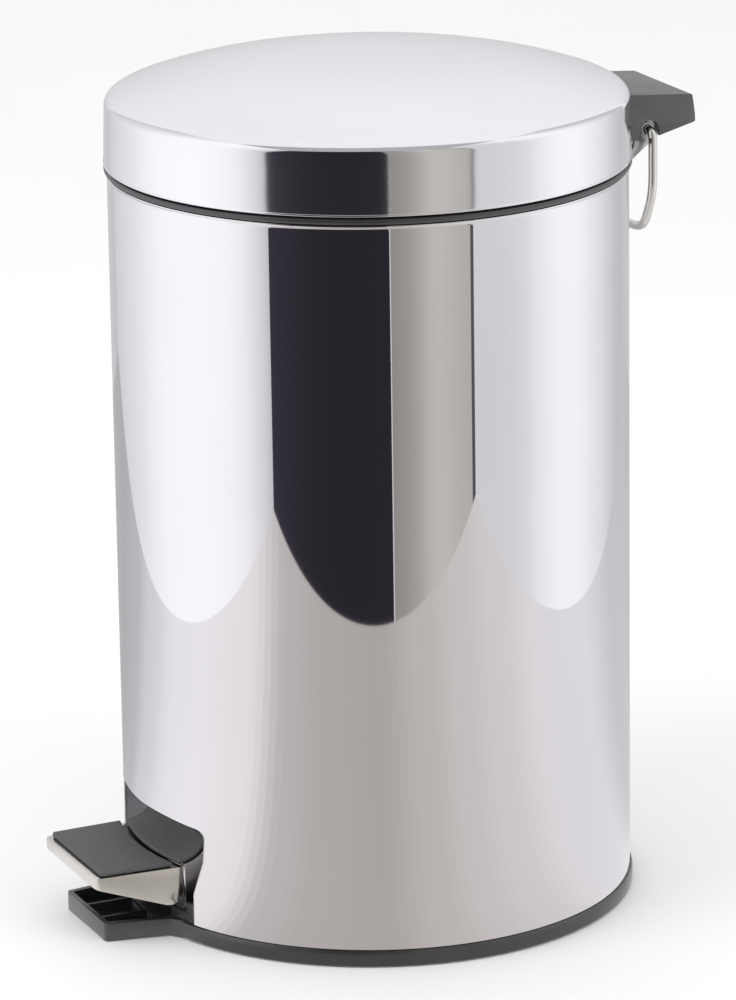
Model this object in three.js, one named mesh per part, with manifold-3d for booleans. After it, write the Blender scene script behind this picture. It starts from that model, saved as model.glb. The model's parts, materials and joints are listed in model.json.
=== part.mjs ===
// Pedal bin of about 12 litres: a round steel body on a plastic base, a domed lid hinged at the back,
// a pedal at the front, and the lever and push rod that join them inside.
// Units are millimetres, +Z is up, the pedal points along -Y and the hinge is at +Y.
// The origin is on the floor, on the axis of the body.

import * as THREE from 'three';
import { mergeVertices } from 'three/addons/utils/BufferGeometryUtils.js';
import Module from 'manifold-3d';

const wasm = await Module();
wasm.setup();

// ---------------------------------------------------------------- driving dimensions

const bodyRadius = 125;        // outside of the steel body
const sheet = 0.8;             // body and lid sheet
const gap = 0.3;               // clearance between pieces that touch
const bodyBottom = 8.8;
const bodyTop = 362.4;
const rimTop = 366.0;          // top of the plastic rim ring
const lidHem = 366.6;          // lower edge of the closed lid
const lidShoulder = 398;       // where the lid's skirt turns into its dome
const domeRise = 16.5;
const hingeY = 136;            // hinge axis, parallel to X
const hingeZ = 370.8;
const pivotY = -75;            // pedal pivot axis, parallel to X
const pivotZ = 15;
const rodY = 115.3;            // push rod, parallel to Z
const crankLength = 23;        // hinge axis to crank stud
const crankDrop = THREE.MathUtils.degToRad(37);
const pedalFront = -163;
const pedalTop = 36;
const pedalHalfWidth = 34.5;
const guardTop = 36.5;
const housingEnd = 158.8;
const housingHalfWidth = 30.5;
const roundSegments = 72;      // facets around the body, lid, base and rim
const smallSegments = 14;      // facets around pins, screws and holes

// ---------------------------------------------------------------- solids from three.js geometry

// A Manifold solid from a closed three.js geometry.
function solid(geometry) {
  const bare = geometry.clone();
  bare.deleteAttribute('normal');
  bare.deleteAttribute('uv');
  const merged = mergeVertices(bare, 1e-4);
  const positions = merged.attributes.position.array;
  const index = Array.from(merged.index.array);
  const triangles = [];
  for (let i = 0; i < index.length; i += 3) {
    const [a, b, c] = index.slice(i, i + 3);
    if (a !== b && b !== c && c !== a) {
      triangles.push(a, b, c);
    }
  }
  if (signedVolume(positions, triangles) < 0) {
    triangles.reverse();
  }
  const mesh = new wasm.Mesh({
    numProp: 3,
    vertProperties: new Float32Array(positions),
    triVerts: new Uint32Array(triangles),
  });
  return new wasm.Manifold(mesh);
}

function signedVolume(positions, triangles) {
  const corner = (k) => new THREE.Vector3().fromArray(positions, 3 * triangles[k]);
  let volume = 0;
  for (let i = 0; i < triangles.length; i += 3) {
    volume += corner(i).dot(corner(i + 1).cross(corner(i + 2)));
  }
  return volume;
}

function geometryOf(manifold) {
  const mesh = manifold.getMesh();
  const geometry = new THREE.BufferGeometry();
  geometry.setAttribute('position', new THREE.BufferAttribute(new Float32Array(mesh.vertProperties), 3));
  geometry.setIndex(new THREE.BufferAttribute(new Uint32Array(mesh.triVerts), 1));
  geometry.computeVertexNormals();
  return geometry;
}

// A ring or disc turned about Z from [radius, height] points; the outline closes on itself.
function turned(points, segments = roundSegments) {
  const outline = [...points, points[0]].map(([r, z]) => new THREE.Vector2(r, z));
  return solid(new THREE.LatheGeometry(outline, segments).rotateX(Math.PI / 2));
}

const cornerSteps = 4;         // facets on a rounded corner

// A flat shape whose corners [x, y, radius] are rounded by arcs.
function outlineShape(corners) {
  const shape = new THREE.Shape();
  const count = corners.length;
  const place = (i) => new THREE.Vector2(corners[i % count][0], corners[i % count][1]);
  corners.forEach(([, , radius = 0], i) => {
    const here = place(i);
    const before = place(i + count - 1).sub(here).normalize();
    const after = place(i + 1).sub(here).normalize();
    const halfAngle = Math.acos(THREE.MathUtils.clamp(before.dot(after), -1, 1)) / 2;
    const reach = radius / Math.tan(halfAngle);
    const start = here.clone().addScaledVector(before, reach);
    const end = here.clone().addScaledVector(after, reach);
    const middle = before.clone().add(after).normalize();
    const centre = here.clone().addScaledVector(middle, radius / Math.sin(halfAngle));
    if (i === 0) {
      shape.moveTo(start.x, start.y);
    } else {
      shape.lineTo(start.x, start.y);
    }
    if (radius === 0) {
      return;
    }
    const from = start.clone().sub(centre).angle();
    const turn = end.clone().sub(centre).angle() - from;
    const sweep = turn - 2 * Math.PI * Math.round(turn / (2 * Math.PI));
    for (let k = 1; k <= cornerSteps; k += 1) {
      const angle = from + (sweep * k) / cornerSteps;
      shape.lineTo(centre.x + radius * Math.cos(angle), centre.y + radius * Math.sin(angle));
    }
  });
  shape.closePath();
  return shape;
}

function prism(corners, depth) {
  return new THREE.ExtrudeGeometry(outlineShape(corners), { depth, bevelEnabled: false });
}

// Prisms whose outline lies across one axis and which run between two values on it.
function prismX(cornersYZ, x0, x1) {
  const turn = new THREE.Matrix4().makeBasis(
    new THREE.Vector3(0, 1, 0),
    new THREE.Vector3(0, 0, 1),
    new THREE.Vector3(1, 0, 0),
  );
  return solid(prism(cornersYZ, x1 - x0).applyMatrix4(turn).translate(x0, 0, 0));
}

function prismY(cornersXZ, y0, y1) {
  return solid(prism(cornersXZ, y1 - y0).rotateX(Math.PI / 2).translate(0, y1, 0));
}

function prismZ(cornersXY, z0, z1) {
  return solid(prism(cornersXY, z1 - z0).translate(0, 0, z0));
}

function box([x0, y0, z0], [x1, y1, z1]) {
  const geometry = new THREE.BoxGeometry(x1 - x0, y1 - y0, z1 - z0);
  return solid(geometry.translate((x0 + x1) / 2, (y0 + y1) / 2, (z0 + z1) / 2));
}

function cylinderX(y, z, radius, x0, x1, segments = smallSegments) {
  const geometry = new THREE.CylinderGeometry(radius, radius, x1 - x0, segments);
  return solid(geometry.rotateZ(Math.PI / 2).translate((x0 + x1) / 2, y, z));
}

function cylinderY(x, z, radius, y0, y1, segments = smallSegments) {
  const geometry = new THREE.CylinderGeometry(radius, radius, y1 - y0, segments);
  return solid(geometry.translate(x, (y0 + y1) / 2, z));
}

function cylinderZ(x, y, radius, z0, z1, segments = smallSegments) {
  const geometry = new THREE.CylinderGeometry(radius, radius, z1 - z0, segments);
  return solid(geometry.rotateX(Math.PI / 2).translate(x, y, (z0 + z1) / 2));
}

// A plug about the body's axis, used to trim pieces to the curve of the wall.
function plug(radius, z0 = -20, z1 = 440) {
  return cylinderZ(0, 0, radius, z0, z1, roundSegments);
}

// A bar of round section along a path; a bore makes it a tube.
function roundBar(path, radius, steps, sides = 8, bore = 0) {
  const section = new THREE.Shape();
  section.absarc(0, 0, radius, 0, 2 * Math.PI);
  if (bore > 0) {
    const hole = new THREE.Path();
    hole.absarc(0, 0, bore, 0, 2 * Math.PI, true);
    section.holes.push(hole);
  }
  const options = { steps, curveSegments: sides / 2, bevelEnabled: false, extrudePath: path };
  return solid(new THREE.ExtrudeGeometry(section, options));
}

const mirrored = (half) => half.add(half.mirror([1, 0, 0]));
const mirrorCorners = (corners) => [...corners, ...corners.map(([x, y, r]) => [-x, y, r]).reverse()];

// ---------------------------------------------------------------- finishes

const finish = (color, roughness, metalness) => () =>
  new THREE.MeshStandardMaterial({ color, roughness, metalness });
const polishedSteel = finish(0xdad9dc, 0.12, 1);
const plainSteel = finish(0xa9abad, 0.35, 1);
const chrome = finish(0xd6d3cc, 0.08, 1);
const galvanised = finish(0xa5a9ab, 0.5, 0.9);
const blackPlastic = finish(0x2d2d2f, 0.45, 0);
const padRubber = finish(0x3a3a3b, 0.75, 0);

const bin = new THREE.Group();
bin.name = 'pedal_bin';

function piece(name, manifold, material) {
  const mesh = new THREE.Mesh(geometryOf(manifold), material());
  mesh.name = name;
  bin.add(mesh);
}

// ---------------------------------------------------------------- base

const ringRadius = 126.4;
const ringBottom = 0.4;        // the rubber ring holds the moulding this far off the floor
const ringInner = 117;         // inside this radius the moulding's underside is recessed
const floorBottom = 2.2;
const floorTop = 4.6;
const upstandRadius = bodyRadius - sheet - 0.5;
const upstandInner = 121.5;
const upstandTop = 18;
const trayFront = -155.6;
const trayWall = 2.4;
const trayTop = 9.4;
const trayFloor = 2.8;
const leverRoomX = 25.2;       // half width kept free for the pedal lever
const columnBack = -105.5;

// Ring that the body stands in, with the floor and a low upstand inside the wall.
function baseDisc() {
  return turned([
    [0, floorBottom], [ringInner, floorBottom], [ringInner, ringBottom],
    [ringRadius - 0.8, ringBottom], [ringRadius - 0.1, 1.2], [ringRadius, 6.4], [ringRadius - 0.5, 8.2],
    [bodyRadius - 0.1, bodyBottom - gap], [upstandRadius, bodyBottom - gap], [upstandRadius, upstandTop],
    [upstandInner, upstandTop], [upstandInner, floorTop], [0, floorTop],
  ]);
}

// Open tray in front of the body, under the pedal, flaring into the ring.
function pedalTray() {
  const outsidePlan = mirrorCorners([
    [37.5, -110, 0], [37.3, -120.3, 0], [31.3, -124.5, 5], [25.6, trayFront, 2.5],
  ]);
  const insidePlan = mirrorCorners([
    [28.2, -104, 0], [28.2, -124.5, 0], [25.6 - trayWall, trayFront + trayWall, 1],
  ]);
  const rearTop = 9;
  const above = [
    [-170, trayTop], [trayFront, trayTop], [-126, rearTop], [-100, rearTop], [-100, 40], [-170, 40],
  ];
  const outside = prismZ(outsidePlan, ringBottom, 30).subtract(prismX(above, -60, 60));
  const inside = prismZ(insidePlan, trayFloor, 60);
  const ribs = mirrored(box([9, trayFront + 1, trayFloor - gap], [10.6, -128, 7]));
  return outside.subtract(plug(ringInner + 0.5, -5, trayFloor - 0.4)).subtract(inside).add(ribs);
}

// Two columns that carry the pedal guard, one each side of the lever.
function guardColumns() {
  const columnFront = bodyRadius - 3.5;
  const plinth = box([leverRoomX, -128, trayFloor - 0.2], [36.6, columnBack + 1, 13]);
  const column = box([leverRoomX, -128, trayFloor - 0.2], [32.6, columnBack, 31]);
  return mirrored(plinth.add(column)).intersect(plug(columnFront));
}

function pivotCheeks() {
  const corners = [[-86, 3, 0], [-64, 3, 0], [-68, 22, 4], [-82, 22, 4]];
  return mirrored(prismX(corners, 24.5, 30));
}

const pivotRadius = 3;
const pivotHole = cylinderX(pivotY, pivotZ, pivotRadius + gap, -40, 40);

function baseMoulding() {
  const leverPath = box([-leverRoomX, -128, floorTop], [leverRoomX, -100, 40]);
  const guardRoom = box([-36.6, -128, 13], [36.6, -100, 40]);
  const leverEndRoom = box([-12, 117, floorTop], [12, 124, 30]);
  const open = baseDisc().add(pedalTray()).subtract(leverPath).subtract(guardRoom).subtract(leverEndRoom);
  return open.add(guardColumns()).add(pivotCheeks()).subtract(pivotHole);
}

piece('base_moulding', baseMoulding(), blackPlastic);

const gripRing = { inner: 106, outer: 115, top: floorBottom - gap };
piece('non_slip_ring', turned([
  [gripRing.inner, 0], [gripRing.outer, 0], [gripRing.outer, gripRing.top], [gripRing.inner, gripRing.top],
]), padRubber);

// ---------------------------------------------------------------- body

// Outline of the toe opening in the wall, seen from the front; grow moves its edge outwards.
const openingCorners = (grow) => mirrorCorners([
  [44 + grow, -5, 0], [44.2 + grow, 24, 6], [50.6 + grow, 42, 6], [52 + grow, 57 + grow, 5],
  [26, 59.4 + grow, 0],
]);

const crankSlotX = 8;
const crankSlot = box([-crankSlotX, 100, 352], [crankSlotX, 150, 380]);
const rivetPlaces = [[-19, 337], [19, 337], [-19, 347], [19, 347]];
const wallY = (x, radius) => Math.sqrt(radius * radius - x * x);

function bodyShell() {
  const inner = bodyRadius - sheet;
  const shell = turned([
    [bodyRadius, bodyBottom], [bodyRadius, bodyTop - 1.1], [bodyRadius + 0.5, bodyTop - 0.8],
    [bodyRadius + 0.5, bodyTop - 0.25], [bodyRadius + 0.1, bodyTop], [inner + 0.2, bodyTop],
    [inner, bodyTop - 0.4], [inner, bodyBottom],
  ]);
  const holes = rivetPlaces.map(([x, z]) => cylinderY(x, z, 2, 100, 140));
  const opening = prismY(openingCorners(0), -140, -80);
  return holes.reduce((body, hole) => body.subtract(hole), shell.subtract(opening).subtract(crankSlot));
}

piece('body_shell', bodyShell(), polishedSteel);

// Steel box behind the toe opening; the lever passes through the slot in its back.
function toeRecess() {
  const back = -101;
  const outside = prismY(openingCorners(0.9), -140, back).intersect(plug(bodyRadius - sheet - gap));
  const inside = prismY(openingCorners(0.1), -141, back - sheet);
  const roomTop = upstandTop + 0.5;
  const baseRoom = plug(200, -10, roomTop).subtract(plug(upstandInner - gap, -10, roomTop));
  const belowFloor = box([-70, -140, -10], [70, -90, floorTop + gap]);
  const leverSlot = box([-24.5, -110, -5], [24.5, -95, 38]);
  return outside.subtract(inside).subtract(baseRoom).subtract(belowFloor).subtract(leverSlot);
}

piece('toe_recess', toeRecess(), polishedSteel);

const ledge = { inner: 113.5, bottom: 358, top: 360 };

// Plastic ring clipped on the top edge; its inner ledge carries the bucket.
function rimRing() {
  const beadRadius = 126.5;
  const skirtBottomZ = 353.5;
  const skirtOuter = bodyRadius - 1.5;
  const ring = turned([
    [124.6, bodyTop + 0.4], [beadRadius - 0.4, bodyTop + 0.7], [beadRadius, 364.4],
    [beadRadius - 0.4, rimTop - 0.4], [beadRadius - 1.5, rimTop], [upstandInner, rimTop],
    [upstandInner, ledge.top], [ledge.inner, ledge.top], [ledge.inner, ledge.bottom], [121.7, ledge.bottom],
    [121.7, skirtBottomZ], [skirtOuter, skirtBottomZ], [skirtOuter, bodyTop + 0.4],
  ]);
  const rodRoom = box([-12, 100, 340], [12, 124.2, 362.6]);
  return ring.subtract(crankSlot).subtract(rodRoom);
}

piece('rim_ring', rimRing(), blackPlastic);

// ---------------------------------------------------------------- hinge bracket on the body

const pinRadius = 3.6;
const wireRadius = 2.15;
const roundEye = 28;           // facets around the eyes and notches on the hinge axis
const plateInner = bodyRadius + gap;
const plateOuter = plateInner + 1.8;
const plateBottom = 332;
const plateTop = 360.4;
const ear = { near: 25.3, far: 27.3, radius: 6.2 };

function hingeBracket() {
  const band = turned([
    [plateInner, plateBottom], [plateOuter, plateBottom], [plateOuter, plateTop], [plateInner, plateTop],
  ]);
  const plate = band.intersect(box([-29, 100, 300], [29, 140, 400]));
  const earOutline = [
    [123.4, 353.2, 0], [139.8, 365.9, 0], [hingeY, hingeZ, 0],
    [130.5, 373.4, 0], [128.4, 361.6, 2], [123.4, 360.2, 0],
  ];
  const eye = cylinderX(hingeY, hingeZ, ear.radius, ear.near, ear.far, roundEye);
  const ears = mirrored(prismX(earOutline, ear.near, ear.far).add(eye));
  const holes = rivetPlaces.map(([x, z]) => cylinderY(x, z, 2, 100, 140));
  const pinHole = cylinderX(hingeY, hingeZ, pinRadius + 0.1, -40, 40);
  const whole = plate.add(ears).subtract(crankSlot).subtract(pinHole);
  return holes.reduce((bracket, hole) => bracket.subtract(hole), whole);
}

piece('hinge_bracket', hingeBracket(), plainSteel);

rivetPlaces.forEach(([x, z], i) => {
  const headRadius = 3.2;
  const tailRadius = 2.8;
  const outerFace = wallY(Math.abs(x) - headRadius, plateOuter);
  const innerFace = wallY(Math.abs(x) + tailRadius, bodyRadius - sheet);
  const shank = cylinderY(x, z, 1.8, innerFace - 1, outerFace + 0.8);
  const head = cylinderY(x, z, headRadius, outerFace + 0.1, outerFace + 1.2);
  const tail = cylinderY(x, z, tailRadius, innerFace - 1.2, innerFace - 0.2);
  piece(`bracket_rivet_${i + 1}`, shank.add(head).add(tail), plainSteel);
});

const pinTube = cylinderX(hingeY, hingeZ, pinRadius, -28, 28)
  .subtract(cylinderX(hingeY, hingeZ, wireRadius + gap, -40, 40));
piece('hinge_pin', pinTube, plainSteel);

// ---------------------------------------------------------------- lid

const skirtTop = 125.5;
const skirtBottom = 126.4;

const domeHeight = (r) => lidShoulder + domeRise * (1 - Math.pow(r / bodyRadius, 3));

function lidOutline(inset) {
  const domeRadii = [0, 40, 66, 86, 102, 114];
  const dome = domeRadii.map((r) => [r, domeHeight(r) - inset]);
  const shoulder = [[122.6 - inset * 0.6, 398.9 - inset], [124.8 - inset, 397.3 - inset * 0.7]];
  return [...dome, ...shoulder, [skirtTop - inset, 395], [skirtBottom - inset, 368]];
}

const skirtScrews = [-20, 20];
const screwZ = 381;

function lidShell() {
  const lip = skirtBottom + 0.3;
  const hem = [
    [lip, lidHem + 1.3], [lip, lidHem + 0.3], [skirtBottom, lidHem], [skirtBottom - sheet, lidHem],
  ];
  const shell = turned([...lidOutline(0), ...hem, ...lidOutline(sheet).reverse()]);
  const notch = box([-crankSlotX, 100, 360], [crankSlotX, 140, 374]);
  const holes = skirtScrews.map((x) => cylinderY(x, screwZ, 1.6, 110, 140));
  return holes.reduce((lid, hole) => lid.subtract(hole), shell.subtract(notch));
}

piece('lid_shell', lidShell(), polishedSteel);

const housingWall = 2.2;
const housingFront = 112;
const housingTop = 391.4;
const housingDraft = 2.4;
const housingCorner = 2;
const notchRadius = 4.9;
const bossRadius = 3.4;
const rib = { near: 14, far: 18, radius: 6.4 };

// Room for the lid's skirt, against which the housing is screwed.
function lidRoom() {
  const bottomRadius = skirtBottom + 0.7;
  const topRadius = skirtTop + 0.4;
  return turned([
    [0, 350], [bottomRadius, 350], [bottomRadius, 366], [topRadius, 396], [topRadius, 420], [0, 420],
  ]);
}

// Side outline of the housing; a deeper inset also opens its underside.
function housingOutline(inset) {
  const drop = 20 * inset;
  return [
    [housingFront, 366.3 - drop, 0], [135.2, 366.3 - drop, 0],
    [housingEnd + housingDraft - inset, 373 - drop, 0], [housingEnd - inset, 386.5 - inset, 1.2],
    [housingFront, 390.2 - inset, 0],
  ];
}

// Ribs that turn on the hinge pin, one each side of the crank.
function housingRibs() {
  const outline = [
    [hingeY - rib.radius, hingeZ, 0], [hingeY - rib.radius, 386, 0],
    [148, 386, 0], [hingeY + rib.radius, hingeZ, 0],
  ];
  const eye = cylinderX(hingeY, hingeZ, rib.radius, rib.near, rib.far, roundEye);
  return mirrored(prismX(outline, rib.near, rib.far).add(eye));
}

// Plastic cover of the hinge; it turns with the lid and its side notches clear the handle wire.
function hingeHousing() {
  const w = housingHalfWidth;
  const cover = prismX(housingOutline(0), -w, w);
  const creased = prismY([
    [-w, 350, 0], [w, 350, 0], [w, housingTop - 0.4, 0], [0, housingTop, 0], [-w, housingTop - 0.4, 0],
  ], 100, 170);
  const end = housingEnd + housingDraft;
  const plan = prismZ([
    [-w, 100, 0], [w, 100, 0], [w, end, housingCorner], [-w, end, housingCorner],
  ], 350, 400);
  const crankRoom = box([-crankSlotX, 100, 350], [crankSlotX, 140, 380]);
  const frontWall = cover.intersect(plug(131)).subtract(crankRoom);
  const bosses = mirrored(cylinderY(skirtScrews[1], screwZ, bossRadius, 122, 134));
  const kept = frontWall.add(housingRibs()).add(bosses);
  const hollow = prismX(housingOutline(housingWall), housingWall - w, w - housingWall).subtract(kept);
  const body = cover.intersect(creased).intersect(plan).add(housingRibs()).subtract(hollow);
  const earRoom = mirrored(cylinderX(hingeY, hingeZ, ear.radius + housingWall, 24.4, 28.3, roundEye));
  const notchBelow = box([-40, hingeY - notchRadius, 350], [40, hingeY + notchRadius, hingeZ]);
  const notch = cylinderX(hingeY, hingeZ, notchRadius, -40, 40, roundEye).add(notchBelow);
  const sideNotches = notch.subtract(box([-28.2, 100, 340], [28.2, 170, 400]));
  const pinRoom = cylinderX(hingeY, hingeZ, pinRadius + gap, -40, 40, roundEye);
  const trimmed = body.subtract(lidRoom()).subtract(earRoom).subtract(sideNotches).subtract(pinRoom);
  const holes = skirtScrews.map((x) => cylinderY(x, screwZ, 1.5, 110, 132));
  return holes.reduce((housing, hole) => housing.subtract(hole), trimmed);
}

piece('hinge_housing', hingeHousing(), blackPlastic);

const studY = hingeY - crankLength * Math.cos(crankDrop);
const studZ = hingeZ - crankLength * Math.sin(crankDrop);

const crank = { near: 3.4, far: 5.4, halfWidth: 4, tip: 4.2 };
const studRadius = 2;

// Steel plate on the lid whose stud is lifted by the push rod.
function lidCrank() {
  const along = new THREE.Vector2(studY - hingeY, studZ - hingeZ).normalize();
  const across = new THREE.Vector2(-along.y, along.x).multiplyScalar(crank.halfWidth);
  const root = new THREE.Vector2(hingeY, hingeZ);
  const tip = new THREE.Vector2(studY, studZ).addScaledVector(along, crank.tip);
  const arm = [
    [root.x - across.x, root.y - across.y, 0], [root.x + across.x, root.y + across.y, 0],
    [tip.x + across.x, tip.y + across.y, 3], [tip.x - across.x, tip.y - across.y, 3],
  ];
  const tab = [[131, hingeZ, 0], [131, 383.5, 2], [146, 383.5, 2], [143, hingeZ, 0]];
  const plate = prismX(arm, crank.near, crank.far).add(prismX(tab, crank.near, crank.far));
  const hub = cylinderX(hingeY, hingeZ, 7, crank.near, crank.far, roundEye);
  const hole = cylinderX(hingeY, hingeZ, pinRadius + gap, -10, 10, roundEye);
  const stud = cylinderX(studY, studZ, studRadius, -crank.near, crank.near + 0.6);
  return plate.add(hub).subtract(hole).add(stud);
}

piece('lid_crank', lidCrank(), plainSteel);

skirtScrews.forEach((x, i) => {
  const face = wallY(Math.abs(x) + 3, skirtTop - sheet);
  const head = cylinderY(x, screwZ, 3, face - 2.2, face - 0.4);
  const shank = cylinderY(x, screwZ, 1.2, face - 1, face + 7);
  piece(`housing_screw_${i + 1}`, head.add(shank), plainSteel);
});

// ---------------------------------------------------------------- carry handle

// Wire loop whose two ends turn in the hollow hinge pin.
function carryHandle() {
  const legX = housingHalfWidth + 2.5;
  const half = [
    [12, 0], [22, 0], [29.2, 0], [legX - 0.8, -1.6], [legX, -5], [legX, -14], [legX, -24.5],
    [31.6, -32.5], [28.2, -40], [25, -45.6], [20.5, -49], [12, -50.6],
  ];
  const side = half.map(([x, drop]) => new THREE.Vector3(x, hingeY, hingeZ + drop));
  const other = side.map((p) => new THREE.Vector3(-p.x, p.y, p.z)).reverse();
  const path = new THREE.CatmullRomCurve3([...side, ...other], false, 'centripetal');
  return roundBar(path, wireRadius, 72);
}

piece('carry_handle', carryHandle(), chrome);

// ---------------------------------------------------------------- pedal

const pedalRear = bodyRadius - 1.6;
const pedalPadRear = bodyRadius + 2.8;
const pedalPlan = (inset) => mirrorCorners([
  [pedalHalfWidth + 0.9 - inset, -100, 0], [pedalHalfWidth + 0.9 - inset, -121, 0],
  [pedalHalfWidth - 0.6 - inset, pedalFront + inset, 3 - inset],
]);

const pedalSheet = 1.2;
const pedalScrewX = 11;
const pedalScrewY = -140;
const pedalScrewHoles = mirrored(cylinderZ(pedalScrewX, pedalScrewY, 2.3, 28, 40));

function pedalCover() {
  const wedge = prismX([
    [pedalFront - 1, pedalTop, 0], [pedalFront - 1, 31, 0], [-118.6, 14.5, 6.5],
    [-118.6, pedalTop, 0],
  ], -50, 50);
  const outside = wedge.intersect(prismZ(pedalPlan(0), 0, 60));
  const inside = prismZ(pedalPlan(pedalSheet), 0, pedalTop - pedalSheet);
  return outside.subtract(inside).subtract(plug(pedalRear)).subtract(pedalScrewHoles);
}

piece('pedal_cover', pedalCover(), chrome);

function pedalPad() {
  const plan = mirrorCorners([[34, -100, 0], [34, -121, 0], [32.7, pedalFront + 3, 2]]);
  return prismZ(plan, pedalTop + gap, pedalTop + 2.4).subtract(plug(pedalPadRear));
}

piece('pedal_pad', pedalPad(), padRubber);

const leverSheet = 2;
const leverUnderPedal = pedalTop - pedalSheet - 0.6;

// Channel lever from under the pedal, over the base floor, to the foot of the push rod.
function pedalLever() {
  const top = [
    [121, 14], [20, 18], [-78, 20.4], [-92, 22.6], [-117, leverUnderPedal], [-152, leverUnderPedal],
  ];
  const bottom = [[-152, 24.5], [-125, 21.5], [-112, 16], [-90, 9.6], [-60, 9.6], [121, 9.8]];
  const under = [
    ...top.map(([y, z]) => [y, z - leverSheet]), [-170, leverUnderPedal - leverSheet],
    [-170, 0], [130, 0], [130, 11.6],
  ];
  const plan = (inset) => mirrorCorners([
    [9 - inset, 130], [9 - inset, 10], [20 - inset, -52], [20 - inset, -160],
  ]);
  const outside = prismX([...top, ...bottom], -30, 30).intersect(prismZ(plan(0), 0, 60));
  const inside = prismX(under, -30, 30).intersect(prismZ(plan(leverSheet), 0, 60));
  const footSlot = box([-2.6, rodY - 2.6, 8], [2.6, rodY + 4.5, 20]);
  return outside.subtract(inside).subtract(footSlot).subtract(pedalScrewHoles).subtract(pivotHole);
}

piece('pedal_lever', pedalLever(), plainSteel);

[-pedalScrewX, pedalScrewX].forEach((x, i) => {
  const headTop = leverUnderPedal - leverSheet - gap;
  const head = cylinderZ(x, pedalScrewY, 4, headTop - 3.1, headTop);
  const shank = cylinderZ(x, pedalScrewY, 2, headTop - 0.9, pedalTop - 0.1);
  piece(`pedal_screw_${i + 1}`, head.add(shank), plainSteel);
});

piece('pivot_pin', cylinderX(pivotY, pivotZ, pivotRadius, -33, 33), plainSteel);
['left', 'right'].forEach((side, i) => {
  const near = i === 0 ? -31.6 : 30.6;
  const hole = cylinderX(pivotY, pivotZ, pivotRadius + 0.1, -40, 40);
  piece(`pivot_clip_${side}`, cylinderX(pivotY, pivotZ, 5.6, near, near + 1).subtract(hole), plainSteel);
});

// ---------------------------------------------------------------- pedal guard

const scoopY = -120.5;
const scoopRadius = 18.3;      // chrome surface of the scoop
const scoopZ = guardTop + scoopRadius;
const scoopEnd = -24;          // angle at which the arc stops, in degrees from the horizontal
const scoopSteps = 8;
const guardHalfWidth = 34.6;
const guardSheet = 1.5;

// The scoop's arc about its centre, from its lowest point up towards the back.
function scoopArc(radius) {
  return Array.from({ length: scoopSteps + 1 }, (_, k) => {
    const angle = THREE.MathUtils.degToRad(-90 + ((scoopEnd + 90) * k) / scoopSteps);
    return [scoopY + radius * Math.cos(angle), scoopZ + radius * Math.sin(angle)];
  });
}

function guardCover() {
  const skirt = [[-104, 44], [-107, 30], [-112, 20.5, 3], [-117, 15, 2], [-130, 15]];
  const topAndSides = [[-130, guardTop], ...scoopArc(scoopRadius), ...skirt];
  const below = [[-90, 47.4], [-90, 0], [-131, 0], [-131, guardTop - guardSheet]];
  const innerHalfWidth = guardHalfWidth - guardSheet;
  const outside = prismX(topAndSides, -guardHalfWidth, guardHalfWidth);
  const inside = prismX([...scoopArc(scoopRadius + guardSheet), ...below], -innerHalfWidth, innerHalfWidth);
  return outside.subtract(inside).intersect(plug(bodyRadius - 2.7));
}

piece('guard_cover', guardCover(), chrome);

// Rubber pad on the scoop, 2 mm thick and 1 mm in from the cover's sides.
function guardPad() {
  const upper = scoopRadius - gap - 2;
  const lower = scoopRadius - gap;
  const section = [
    [-130, scoopZ - upper], ...scoopArc(upper), ...scoopArc(lower).reverse(), [-130, scoopZ - lower],
  ];
  const halfWidth = guardHalfWidth - 1;
  return prismX(section, -halfWidth, halfWidth).intersect(plug(bodyRadius - 0.4));
}

piece('guard_pad', guardPad(), padRubber);

// ---------------------------------------------------------------- push rod

const rodRadius = 2;
const rodBottom = 10.6;
const rodTop = 348;
const collar = { radius: 4.4, bottom: 15.2, top: 19.2 };   // rests on the lever's end

function pushRod() {
  const rod = cylinderZ(0, rodY, rodRadius, rodBottom, rodTop);
  return rod.add(cylinderZ(0, rodY, collar.radius, collar.bottom, collar.top));
}

piece('push_rod', pushRod(), plainSteel);

// Flat head with a slot across it, in which the crank stud slides as it swings.
function rodHead() {
  const slotHalf = studRadius + 0.7;
  const slotFront = studY - 7.4;
  const slotBack = studY + 2.6;
  const slot = [
    [slotBack, studZ + slotHalf, studRadius], [slotFront, studZ + slotHalf, studRadius],
    [slotFront, studZ - slotHalf, studRadius], [slotBack, studZ - slotHalf, studRadius],
  ];
  const plateTopZ = studZ + 6.6;
  const plate = [[108.9, 350.4, 2], [122, 350.4, 2], [122, plateTopZ, 2], [108.9, plateTopZ, 2]];
  const rodRoom = cylinderZ(0, rodY, rodRadius + 0.15, rodTop - 18, rodTop + 0.4);
  const socket = cylinderZ(0, rodY, 3.6, rodTop - 12, rodTop + 3.2).subtract(rodRoom);
  return prismX(plate, -1.5, 1.5).add(socket).subtract(prismX(slot, -5, 5));
}

piece('rod_head', rodHead(), plainSteel);

[['rod_guide_lower', 92], ['rod_guide_upper', 290]].forEach(([name, z]) => {
  const block = box([-7, rodY - 5, z], [7, 130, z + 9]).intersect(plug(bodyRadius - sheet - gap));
  const bore = cylinderZ(0, rodY, rodRadius + 0.35, z - 5, z + 20);
  piece(name, block.subtract(bore), blackPlastic);
});

// ---------------------------------------------------------------- bucket

const bucketTop = 360.4;
const bucketBottom = 52;
const bucketRadius = 107.5;
const bucketFoot = 92;
const bucketSheet = 1.2;
const flangeRadius = 119.4;
const bailZ = 366.6;
const bailRadius = 113;
const bailWire = 1.5;

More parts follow.
